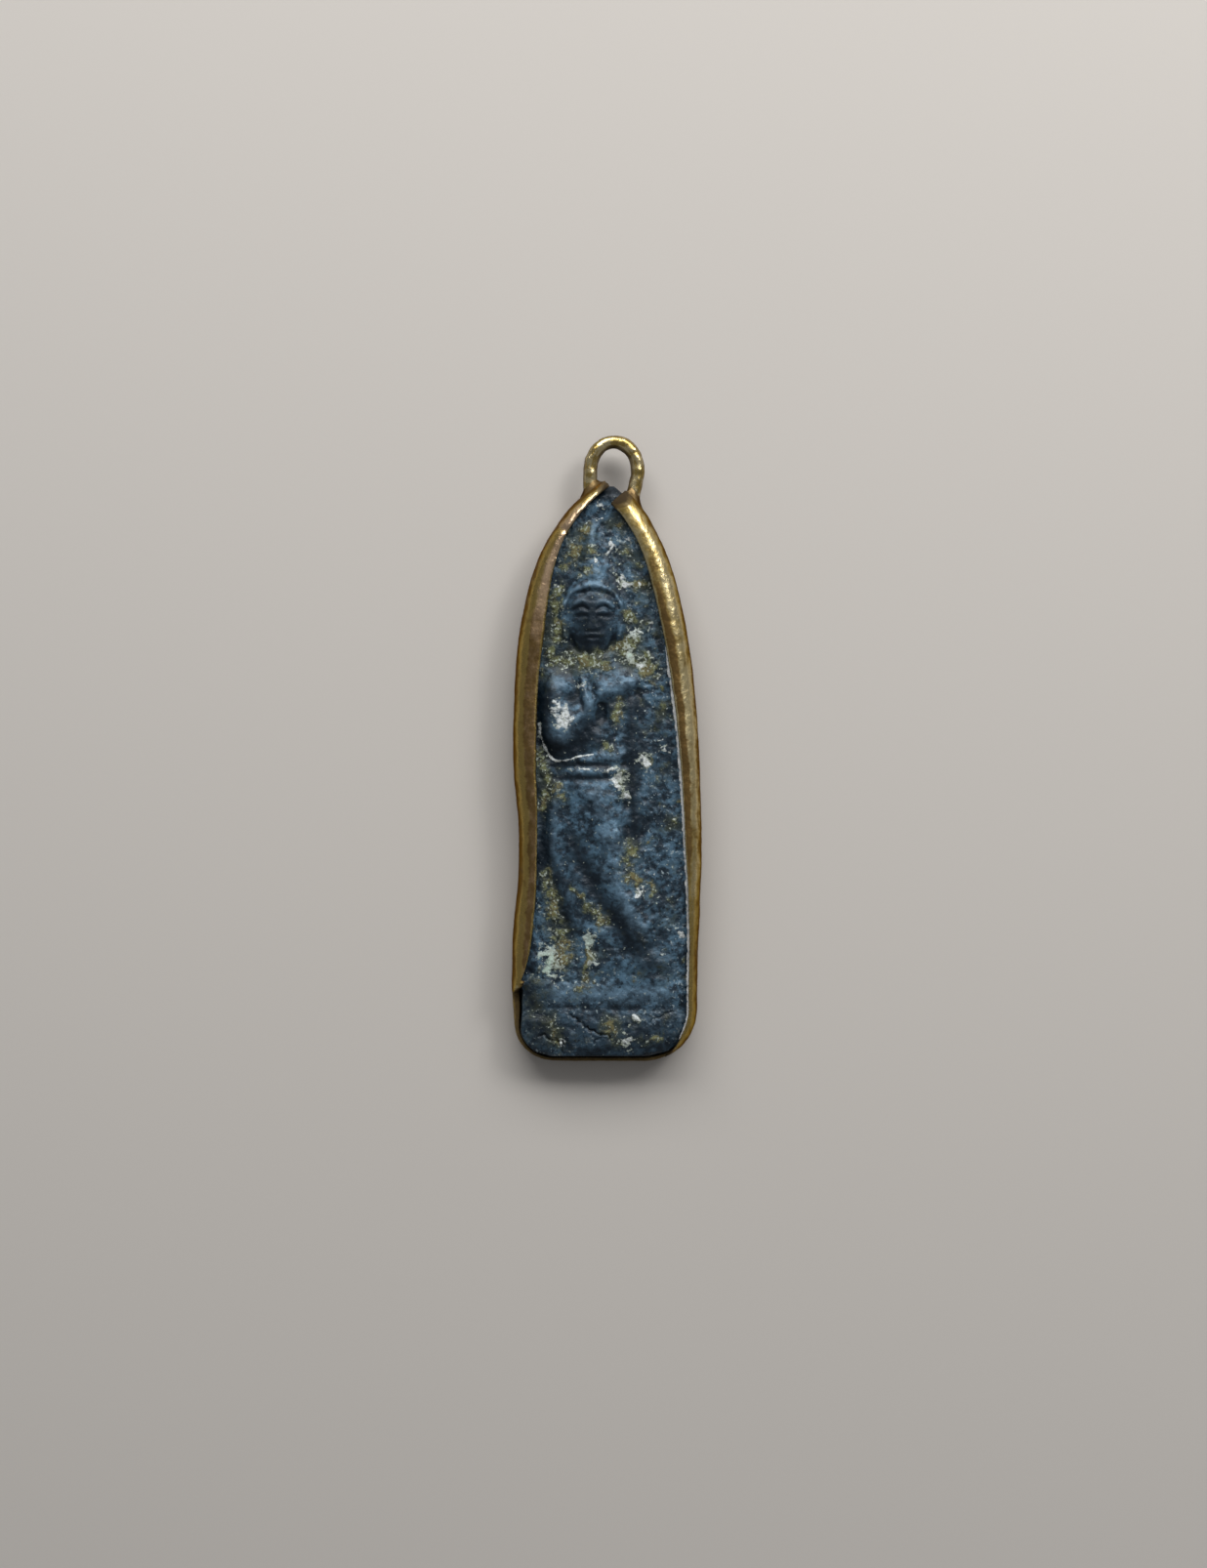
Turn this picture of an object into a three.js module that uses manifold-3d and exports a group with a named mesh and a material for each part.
// A Thai amulet: a cast lead tablet with a walking figure in relief, gripped round its edge by a bent brass
// channel, with a wire bail soldered to the channel's two upper ends.
// Millimetres. The amulet lies on its back: +Z points out of the figure's face and +Y towards the bail.
// Heights are measured up the tablet, in +Y, from its base edge.

import * as THREE from "three";
import { mergeVertices } from "three/addons/utils/BufferGeometryUtils.js";
import Module from "manifold-3d";

const wasm = await Module();
wasm.setup();

// Tablet
const tabletLength = 61.4; // base edge to tip
const tabletThickness = 3.0; // back to the flat ground of the face
const tipWidth = 1.0; // blunt end of the pointed arch
const tipOffset = 0.2; // the tip stands a little right of the middle
const leftCorner = 3.4; // radius of the lower corners
const rightCorner = 4.8;
const edgeRounding = 1.1; // worn round of the face's edge
const leftFoot = 9.3; // middle line to the left side, just above its lower corner
const rightFoot = 8.9;
const leftBulge = 9.58; // the left side swells above its corner
const leftBulgeHeight = 8.2;
const leftPinch = 8.82; // and is dented in above that
const leftPinchHeight = 22.3;
const bellyWidth = 9.38; // middle line to either side where the arch begins
const leftBelly = 34;
const rightBelly = 23;
const archReach = 6.6; // how full the arch is: the width its curve makes for below the tip
const leftArchDrop = 4.4; // and how far below the tip
const rightArchDrop = 5.2;
const leftArchShare = 0.58; // share of the arch that rises straight up before it leans in
const rightArchShare = 0.5;

// Figure in relief: its parts are given in head heights from a point between its feet
const headHeight = 7.2;
const figureFoot = 9.0; // height of its soles
const figureOffset = -0.75; // it stands a little left of the middle
const figureRise = 1.45; // highest point over the ground
const formBlend = 0.18; // share of the rise over which neighbouring forms melt together
const formFullness = 2.3; // 2 gives a parabola across a form, more gives a flatter top
const reliefFade = 0.8; // width over which the relief dies away before a lip
const reliefWear = 0.42; // how far the wear has rounded its edges

// Moulded base under the figure
const ledgeHeight = 7.3;
const ledgeHalfWidth = 1.1;
const ledgeRise = 0.36;
const plinthHeight = 2.4;
const plinthHalfWidth = 2.9;
const plinthRise = 0.3;

// Brass channel
const clearance = 0.3; // gap between the tablet and the channel on every side
const wall = 0.6;
const frontRound = 2.0; // outer radius where the wall turns into the front lip
const backRound = 1.0;
const lipDroop = 0.2; // the front lip is pressed down towards its edge
const backLip = 1.5; // how far the back lip reaches over the tablet
const backLipTip = 0.3; // and what is left of it at the arch's tip
const leftLipEnd = 7.3; // height at which the left front lip has died away
const leftLipTaper = 5.4; // length over which it narrows to that end
const leftLipWaist = 1.34; // reach of the left front lip, from its taper up
const leftLipBelly = 1.75;
const leftLipShoulder = 1.8;
const leftLipKink = 0.8; // it was bent back here to clear the solder
const leftLipTip = 0.25;
const rightLipFoot = 0.16; // reach of the right front lip, from the corner up
const rightLipBelly = 1.05;
const rightLipWaist = 1.5;
const rightLipShoulder = 1.92;
const rightLipTip = 1.68;
const shoulderShare = 0.55; // share of the arch's height up to the shoulder of a lip
const kinkShare = 0.83; // and up to the kink
const baseWallHeight = 2.9; // the channel's wall along the base, which has no front lip
const leftOverrun = 0.6; // how far the left end of the strip runs on past the tip
const splitGap = 1.0; // how far the right end of the strip stops short of the tip

// Wire bail and its solder
const wireDiameter = 1.45;
const eyeWidth = 3.75;
const eyeHeight = 4.85;
const bailOffset = 0.72; // the bail stands right of the middle
const bailRise = 2.0; // tablet tip to the middle of the eye
const filletHeight = 1.0; // solder between a wire end and the channel
const filletRadius = 1.2; // how far the solder flares out on the channel
const solderGap = 0.25;

// Facets
const tabletColumns = 36;
const tabletRows = 108;
const edgeSamples = 160;
const openingSamples = 56;
const cornerSteps = 6;
const sideSteps = 6;
const archSteps = 22;
const sectionArcSteps = 2;
const wireSides = 12;
const wireSteps = 36;
const filletSides = 18;
const filletSteps = 5;

// Places that follow from the sizes above
const rimDepth = 2 * wall + 2 * clearance + tabletThickness + lipDroop;
const tabletBack = wall + clearance;
const channelReach = clearance + wall;
const wireLevel = rimDepth / 2;
const backMargin = 0.5; // stock below the tablet's back before it is filed flat
const outside = 5; // how far a cutting tool stands past what it cuts

const lead = new THREE.MeshStandardMaterial({ color: 0x3a444f, roughness: 0.6, metalness: 0.6 });
const brass = new THREE.MeshStandardMaterial({ color: 0x9a7b3e, roughness: 0.38, metalness: 1 });
const solder = new THREE.MeshStandardMaterial({ color: 0x7a6238, roughness: 0.5, metalness: 1 });

// Solids from geometries, and back

function solidOf(geometry) {
  const bare = geometry.clone();
  bare.deleteAttribute("normal");
  bare.deleteAttribute("uv");
  const merged = mergeVertices(bare);
  const vertProperties = new Float32Array(merged.attributes.position.array);
  const triVerts = new Uint32Array(merged.index.array);
  return new wasm.Manifold(new wasm.Mesh({ numProp: 3, vertProperties, triVerts }));
}

function geometryOf(solid) {
  const mesh = solid.getMesh();
  const geometry = new THREE.BufferGeometry();
  geometry.setAttribute("position", new THREE.BufferAttribute(mesh.vertProperties, 3));
  geometry.setIndex(new THREE.BufferAttribute(mesh.triVerts, 1));
  geometry.computeVertexNormals();
  return geometry;
}

function prism(points, low, high) {
  const geometry = new THREE.ExtrudeGeometry(new THREE.Shape(points), {
    depth: high - low,
    bevelEnabled: false,
  });
  return geometry.translate(0, 0, low);
}

// Outline of the tablet

// One side of the tablet from its base edge to its tip: round corner, side, then half of the arch.
// The side stands upright at its foot and at each of its stations, and sways from one to the next.
function sidePath(sign, foot, radius, stations, archShare, archDrop) {
  const corner = sign * (foot - radius);
  const tip = tipOffset + (sign * tipWidth) / 2;
  const belly = stations.at(-1).height;
  const arch = tabletLength - belly;
  const path = new THREE.Path();
  path.moveTo(corner, 0);
  path.absarc(corner, radius, radius, -Math.PI / 2, sign > 0 ? 0 : -Math.PI, sign < 0);
  stations.forEach((station) => {
    const { x, y } = path.currentPoint;
    const between = (y + station.height) / 2;
    path.bezierCurveTo(x, between, sign * station.width, between, sign * station.width, station.height);
  });
  path.bezierCurveTo(
    sign * bellyWidth, belly + archShare * arch,
    tip + sign * archReach, tabletLength - archDrop,
    tip, tabletLength,
  );
  return path;
}

const leftStations = [
  { width: leftBulge, height: leftBulgeHeight },
  { width: leftPinch, height: leftPinchHeight },
  { width: bellyWidth, height: leftBelly },
];
const rightStations = [{ width: bellyWidth, height: rightBelly }];
const leftPath = sidePath(-1, leftFoot, leftCorner, leftStations, leftArchShare, leftArchDrop);
const rightPath = sidePath(1, rightFoot, rightCorner, rightStations, rightArchShare, rightArchDrop);
const leftSide = leftPath.getSpacedPoints(edgeSamples);
const rightSide = rightPath.getSpacedPoints(edgeSamples);

// The outline, anticlockwise from the left of the tip, round the base, to the right of the tip.
const outline = [...leftSide].reverse().concat(rightSide);

// X of a side at a height up the tablet.
function sideAt(side, height) {
  const above = side.findIndex((p) => p.y >= height);
  if (above < 0) return side.at(-1).x;
  if (above === 0) return side[0].x;
  const [a, b] = [side[above - 1], side[above]];
  return THREE.MathUtils.mapLinear(height, a.y, b.y, a.x, b.x);
}

// Distance from a point to a segment, and how far along the segment its nearest point lies.
function toSegment(x, y, a, b) {
  const [dx, dy] = [b.x - a.x, b.y - a.y];
  const along = THREE.MathUtils.clamp(((x - a.x) * dx + (y - a.y) * dy) / (dx * dx + dy * dy || 1), 0, 1);
  return [Math.hypot(x - a.x - along * dx, y - a.y - along * dy), along];
}

function outlineDistance(x, y) {
  let least = Infinity;
  outline.forEach((a, i) => {
    const b = outline[(i + 1) % outline.length];
    least = Math.min(least, toSegment(x, y, a, b)[0]);
  });
  return least;
}

// The outline moved inwards by a reach that may change along it.
function insetPoints(points, reachAt) {
  return points.map((p, i) => {
    const before = points[Math.max(i - 1, 0)];
    const after = points[Math.min(i + 1, points.length - 1)];
    const inward = new THREE.Vector2(before.y - after.y, after.x - before.x).normalize();
    return p.clone().addScaledVector(inward, reachAt(p.y));
  });
}

// Reach of the lips over the tablet, by height

function reachCurve(heights, reaches) {
  const curve = new THREE.CatmullRomCurve3(heights.map((h, i) => new THREE.Vector3(h, reaches[i], 0)));
  const samples = curve.getPoints(edgeSamples).map((p) => new THREE.Vector2(p.y, p.x));
  return (height) => sideAt(samples, height);
}

// A lip dies away where its edge passes the outer face of the channel.
const diedAway = -channelReach - clearance;
const archHeight = (share) => THREE.MathUtils.lerp(leftBelly, tabletLength, share);

// The left front lip dies away above the base, the right one as it turns its lower corner.
const leftLipFoot = leftLipEnd + diedAway;
const leftLipAt = reachCurve(
  [
    0, leftLipFoot, leftLipEnd, leftLipEnd + 0.45 * leftLipTaper, leftLipEnd + leftLipTaper, leftPinchHeight,
    leftBelly, archHeight(shoulderShare), archHeight(kinkShare), tabletLength,
  ],
  [
    diedAway, diedAway, 0, 0.7 * leftLipWaist, leftLipWaist, leftLipWaist,
    leftLipBelly, leftLipShoulder, leftLipKink, leftLipTip,
  ],
);
const rightLipAt = reachCurve(
  [
    0, rightCorner / 3, rightCorner, rightBelly / 2,
    rightBelly, leftBelly, archHeight(shoulderShare), archHeight(kinkShare), tabletLength,
  ],
  [
    diedAway, 0, rightLipFoot, 1.5 * rightLipFoot,
    rightLipBelly, rightLipWaist, rightLipShoulder, rightLipTip, rightLipTip,
  ],
);
const backLipAt = reachCurve(
  [0, leftBelly, tabletLength - leftCorner, tabletLength],
  [backLip, backLip, backLip / 2, backLipTip],
);

// Relief

// A rounded bar between two points: half-width at each end, and its rise over the ground.
function bar(from, fromWidth, to, toWidth, rise) {
  return { from, to, fromWidth, toWidth, rise };
}

// The same for a part of the figure, given in head heights, with its rise as a share of the highest.
function limb(from, fromWidth, to, toWidth, rise) {
  const place = ([x, y]) => new THREE.Vector2(figureOffset + x * headHeight, figureFoot + y * headHeight);
  return bar(place(from), fromWidth * headHeight, place(to), toWidth * headHeight, rise * figureRise);
}

const figure = {
  // The leg that trails, under the hem of the robe that swings out behind it
  robeTail: limb([-0.64, 2.7], 0.18, [-0.68, 1.8], 0.16, 0.42),
  robeHem: limb([-0.68, 1.8], 0.16, [-0.34, 0.7], 0.14, 0.4),
  trailingThigh: limb([-0.45, 2.45], 0.24, [-0.36, 1.4], 0.23, 0.58),
  trailingShin: limb([-0.36, 1.4], 0.23, [0.1, 0.48], 0.18, 0.56),
  trailingFoot: limb([0.02, 0.17], 0.17, [0.36, 0.12], 0.13, 0.5),

  // The leg that carries the weight
  hips: limb([-0.2, 2.74], 0.44, [0.1, 2.7], 0.44, 0.74),
  leadingThigh: limb([0.0, 2.6], 0.5, [0.22, 1.5], 0.37, 0.9),
  leadingShin: limb([0.22, 1.5], 0.37, [0.55, 0.5], 0.24, 0.82),
  leadingFoot: limb([0.52, 0.2], 0.19, [0.88, 0.14], 0.13, 0.66),

  torso: limb([-0.08, 4.08], 0.58, [-0.03, 3.1], 0.46, 0.66),
  shoulders: limb([-0.6, 4.3], 0.26, [0.36, 4.28], 0.26, 0.62),
  upperFold: limb([-0.6, 3.2], 0.1, [0.34, 3.22], 0.09, 0.82),
  lowerFold: limb([-0.42, 3.02], 0.1, [0.36, 3.0], 0.09, 0.78),

  // The arm that hangs straight down
  hangingUpperArm: limb([0.44, 4.22], 0.21, [0.48, 3.3], 0.19, 0.64),
  hangingForearm: limb([0.48, 3.3], 0.19, [0.54, 2.3], 0.16, 0.56),
  hangingHand: limb([0.54, 2.25], 0.16, [0.58, 1.9], 0.12, 0.48),

  // The bent arm, with its hand raised before the chest
  bentUpperArm: limb([-0.68, 4.2], 0.22, [-0.57, 3.64], 0.34, 1.0),
  bentForearm: limb([-0.52, 3.52], 0.27, [-0.22, 4.0], 0.18, 0.95),
  raisedHand: limb([-0.22, 4.02], 0.16, [-0.14, 4.32], 0.11, 0.86),

  neck: limb([-0.11, 4.86], 0.26, [-0.1, 4.52], 0.38, 0.56),
  face: limb([-0.12, 5.13], 0.34, [-0.12, 5.5], 0.43, 0.92),
  brow: limb([-0.38, 5.5], 0.08, [0.14, 5.5], 0.08, 0.98),
  nose: limb([-0.12, 5.46], 0.08, [-0.12, 5.22], 0.11, 1.06),
  mouth: limb([-0.22, 5.04], 0.07, [-0.02, 5.04], 0.07, 0.96),
  leftEar: limb([-0.52, 5.5], 0.09, [-0.48, 5.06], 0.07, 0.52),
  rightEar: limb([0.28, 5.5], 0.09, [0.24, 5.06], 0.07, 0.52),
  hair: limb([-0.12, 5.62], 0.47, [-0.12, 5.84], 0.34, 0.86),
  topknot: limb([-0.12, 6.0], 0.27, [-0.13, 6.62], 0.07, 0.7),
};

const moulding = {
  ledge: bar(
    new THREE.Vector2(-bellyWidth, ledgeHeight), ledgeHalfWidth,
    new THREE.Vector2(bellyWidth, ledgeHeight), ledgeHalfWidth,
    ledgeRise,
  ),
  plinth: bar(
    new THREE.Vector2(-bellyWidth, plinthHeight), plinthHalfWidth,
    new THREE.Vector2(bellyWidth, plinthHeight), plinthHalfWidth,
    plinthRise,
  ),
};

const forms = [...Object.values(moulding), ...Object.values(figure)];

// Height of one form over the ground, below zero past its sides.
function formHeight(form, x, y) {
  const [distance, along] = toSegment(x, y, form.from, form.to);
  const width = THREE.MathUtils.lerp(form.fromWidth, form.toWidth, along);
  return form.rise * Math.max(1 - (distance / width) ** formFullness, -1);
}

// The greater of two heights, with a soft hollow where they cross.
function melt(a, b) {
  const soft = formBlend * figureRise;
  const share = THREE.MathUtils.clamp(0.5 + (0.5 * (a - b)) / soft, 0, 1);
  return THREE.MathUtils.lerp(b, a, share) + soft * share * (1 - share);
}

// Height of the relief as it was modelled, before wear.
function modelledHeight(x, y) {
  return forms.reduce((height, form) => melt(height, formHeight(form, x, y)), 0);
}

// Wear: the mean of the heights round a point, its own counted most.
function wornHeight(x, y) {
  const steps = [-1, 0, 1];
  let sum = 0;
  steps.forEach((i) => {
    steps.forEach((j) => {
      const weight = (2 - Math.abs(i)) * (2 - Math.abs(j));
      sum += weight * modelledHeight(x + i * reliefWear, y + j * reliefWear);
    });
  });
  return sum / 16;
}

// Height of the tablet's face over its back.
function faceHeight(x, y) {
  const inside = outlineDistance(x, y);
  const round = Math.max(1 - inside / edgeRounding, 0);
  const ground = tabletThickness - edgeRounding * (1 - Math.sqrt(1 - round * round));
  const lip = x < tipOffset ? leftLipAt(y) : rightLipAt(y);
  const free = THREE.MathUtils.smoothstep(inside, lip + clearance, lip + clearance + reliefFade);
  return ground + free * wornHeight(x, y);
}

// Tablet

// A block warped to the outline, with its face raised into the relief and its back filed flat.
function makeTablet() {
  const block = new THREE.BoxGeometry(1, 1, 1, tabletColumns, tabletRows, 1);
  const corners = block.attributes.position;
  for (let i = 0; i < corners.count; i += 1) {
    const up = corners.getY(i) + 0.5;
    const across = corners.getX(i) + 0.5;
    const height = tabletLength * up;
    const x = THREE.MathUtils.lerp(sideAt(leftSide, height), sideAt(rightSide, height), closer(across));
    const z = corners.getZ(i) > 0 ? faceHeight(x, height) : -backMargin;
    corners.setXYZ(i, x, height, z);
  }
  const filedAway = new THREE.BoxGeometry(4 * bellyWidth, 4 * tabletLength, 2 * backMargin);
  filedAway.translate(0, 0, -backMargin);
  const tablet = solidOf(block).subtract(solidOf(filedAway));
  return geometryOf(tablet).translate(0, 0, tabletBack);
}

// Even steps from 0 to 1 drawn closer together at both ends.
function closer(share) {
  return share - Math.sin(2 * Math.PI * share) / (6 * Math.PI);
}

// Channel

// Section of the strip. X runs from the front of the amulet to its back, Y in over the tablet.
function channelSection() {
  const frontLip = Math.max(leftLipBelly, leftLipShoulder, rightLipWaist, rightLipShoulder) + clearance;
  const frontTurn = frontRound - channelReach;
  const backTurn = backRound - channelReach;
  const half = Math.PI / 2;
  const shape = new THREE.Shape();
  shape.moveTo(lipDroop - rimDepth, frontLip);
  shape.quadraticCurveTo(-rimDepth, (frontLip + frontTurn) / 2, -rimDepth, frontTurn);
  shape.absarc(frontRound - rimDepth, frontTurn, frontRound, 2 * half, 3 * half, false);
  shape.absarc(-backRound, backTurn, backRound, 3 * half, 4 * half, false);
  shape.lineTo(0, backLip);
  shape.lineTo(-wall, backLip);
  shape.absarc(-backRound, backTurn, backRound - wall, 4 * half, 3 * half, true);
  shape.absarc(frontRound - rimDepth, frontTurn, frontRound - wall, 3 * half, 2 * half, true);
  shape.quadraticCurveTo(
    wall - rimDepth, (frontLip + frontTurn) / 2,
    wall + lipDroop - rimDepth, frontLip,
  );
  return shape;
}

// A path whose steps fall on its own points, so that they can lie closer together round a corner.
class StepPath extends THREE.CatmullRomCurve3 {
  getPointAt(share, target) {
    return this.getPoint(share, target);
  }

  getTangentAt(share, target) {
    return this.getTangent(share, target);
  }
}

// Points for the strip up one side of the tablet, ending short of the tip by a length.
function stripPoints(path, shortBy) {
  const corner = path.curves[0];
  const sides = path.curves.slice(1, -1);
  const arch = path.curves.at(-1);
  const kept = 1 - shortBy / arch.getLength();
  const points = [];
  for (let i = 0; i < cornerSteps; i += 1) points.push(corner.getPointAt(i / cornerSteps));
  sides.forEach((side) => {
    for (let i = 0; i < sideSteps; i += 1) points.push(side.getPointAt(i / sideSteps));
  });
  for (let i = 0; i <= archSteps; i += 1) points.push(arch.getPointAt((kept * i) / archSteps));
  return points;
}

// A point straight on past the tip from the left side, by a length.
function pastTip(length) {
  const heading = leftPath.curves.at(-1).getTangent(1);
  return leftSide.at(-1).clone().addScaledVector(heading, length);
}

// One run of the strip along the tablet's edge.
function channelRun(points) {
  const run = new THREE.ExtrudeGeometry(channelSection(), {
    steps: points.length - 1,
    curveSegments: sectionArcSteps,
    extrudePath: new StepPath(points.map((p) => new THREE.Vector3(p.x, p.y, 0))),
    bevelEnabled: false,
  });
  return solidOf(run);
}

// Edges of the two lips, from the left end of the strip down to the base and up to the right end.
function lipEdges(leftAt, rightAt) {
  const leftEdge = [pastTip(leftOverrun + wall), ...leftPath.getSpacedPoints(openingSamples).reverse()];
  return [
    insetPoints(leftEdge, leftAt),
    insetPoints(rightPath.getSpacedPoints(openingSamples), rightAt),
  ];
}

// Both runs are cut back to the edges of their front and back lips, then joined along the base.
function makeChannel() {
  const base = [0.25, 0.5, 0.75].map((share) => leftSide[0].clone().lerp(rightSide[0], share));
  const leftRun = channelRun([pastTip(leftOverrun), ...stripPoints(leftPath, 0).reverse(), ...base]);
  const rightRun = channelRun([...base.slice(1), ...stripPoints(rightPath, splitGap)]);

  const at = (x, y) => new THREE.Vector2(x, y);
  const wide = bellyWidth + outside;
  const top = tabletLength + outside;
  const front = (points) => solidOf(prism(points, baseWallHeight, rimDepth + outside));
  const back = (points) => solidOf(prism(points, -outside, tabletBack));

  const [left, right] = lipEdges(leftLipAt, rightLipAt);
  const leftFront = front([
    ...left.filter((p) => p.y > leftLipFoot),
    at(-wide, leftLipFoot), at(-wide, -outside), at(wide, -outside), at(wide, top),
  ]);
  const rightFront = front([
    ...right,
    at(-wide, right.at(-1).y), at(-wide, -outside), at(right[0].x, -outside),
  ]);

  const [backLeft, backRight] = lipEdges(backLipAt, backLipAt);
  const leftBack = back([...backLeft, at(wide, backLip), at(wide, top)]);
  const rightBack = back([...backRight, at(-wide, backRight.at(-1).y), at(-wide, backLip)]);

  const cutLeft = leftRun.subtract(leftFront).subtract(leftBack);
  const cutRight = rightRun.subtract(rightFront).subtract(rightBack);
  return geometryOf(cutLeft.add(cutRight));
}

// Bail and solder

const eye = new THREE.Vector2(bailOffset, tabletLength + bailRise);
const eyePoint = (angle) => new THREE.Vector2(
  eye.x + ((eyeWidth + wireDiameter) / 2) * Math.cos(angle),
  eye.y + ((eyeHeight + wireDiameter) / 2) * Math.sin(angle),
);

// Angle at which a leg of the bail, followed down from its top, stops above the channel.
function footAngle(turn) {
  const stop = channelReach + solderGap + filletHeight + solderGap;
  const step = Math.PI / 360;
  let angle = Math.PI / 2;
  while (outlineDistance(...eyePoint(angle)) > stop && Math.abs(angle) < 2 * Math.PI) angle += turn * step;
  return angle;
}

const leftFootAngle = footAngle(1);
const rightFootAngle = footAngle(-1);

function makeBail() {
  const points = [];
  for (let i = 0; i <= wireSteps; i += 1) {
    const p = eyePoint(THREE.MathUtils.lerp(leftFootAngle, rightFootAngle, i / wireSteps));
    points.push(new THREE.Vector3(p.x, p.y, wireLevel));
  }
  const section = new THREE.Shape().absarc(0, 0, wireDiameter / 2, 0, 2 * Math.PI, false);
  const wire = new THREE.ExtrudeGeometry(section, {
    steps: wireSteps,
    curveSegments: wireSides / 2,
    extrudePath: new THREE.CatmullRomCurve3(points),
    bevelEnabled: false,
  });
  return geometryOf(solidOf(wire));
}

// Solder that flares from a wire end to the channel's wall, cut back to leave the gap.
function makeFillet(angle, turn) {
  const flare = filletRadius - wireDiameter / 2;
  const depth = filletHeight + 2 * flare;
  const profile = [new THREE.Vector2(0, 0)];
  for (let i = 0; i <= filletSteps; i += 1) {
    const bend = (i / filletSteps) * (Math.PI / 2);
    profile.push(new THREE.Vector2(filletRadius - flare * Math.cos(bend), filletHeight * Math.sin(bend)));
  }
  profile.push(new THREE.Vector2(filletRadius, depth), new THREE.Vector2(0, depth));

  const end = eyePoint(angle);
  const down = eyePoint(angle + turn * 0.01).sub(end).normalize();
  const axis = new THREE.Vector3(down.x, down.y, 0);
  const start = new THREE.Vector3(end.x, end.y, wireLevel).addScaledVector(axis, solderGap);
  const flared = new THREE.LatheGeometry(profile, filletSides);
  flared.applyQuaternion(new THREE.Quaternion().setFromUnitVectors(new THREE.Vector3(0, 1, 0), axis));
  flared.translate(start.x, start.y, start.z);

  const stand = -(channelReach + solderGap);
  const kept = insetPoints(outline, () => stand);
  return geometryOf(solidOf(flared).subtract(solidOf(prism(kept, -outside, rimDepth + outside))));
}

// Assembly

function piece(name, geometry, material) {
  const mesh = new THREE.Mesh(geometry, material);
  mesh.name = name;
  return mesh;
}

const amulet = new THREE.Group();
amulet.add(
  piece("lead_tablet", makeTablet(), lead),
  piece("rim_channel", makeChannel(), brass),
  piece("bail_loop", makeBail(), brass.clone()),
  piece("left_solder_fillet", makeFillet(leftFootAngle, 1), solder),
  piece("right_solder_fillet", makeFillet(rightFootAngle, -1), solder.clone()),
);

// The origin is under the middle of the whole amulet.
const box = new THREE.Box3().setFromObject(amulet);
const middle = box.getCenter(new THREE.Vector3());
amulet.position.set(-middle.x, -middle.y, -box.min.z);

export default amulet;
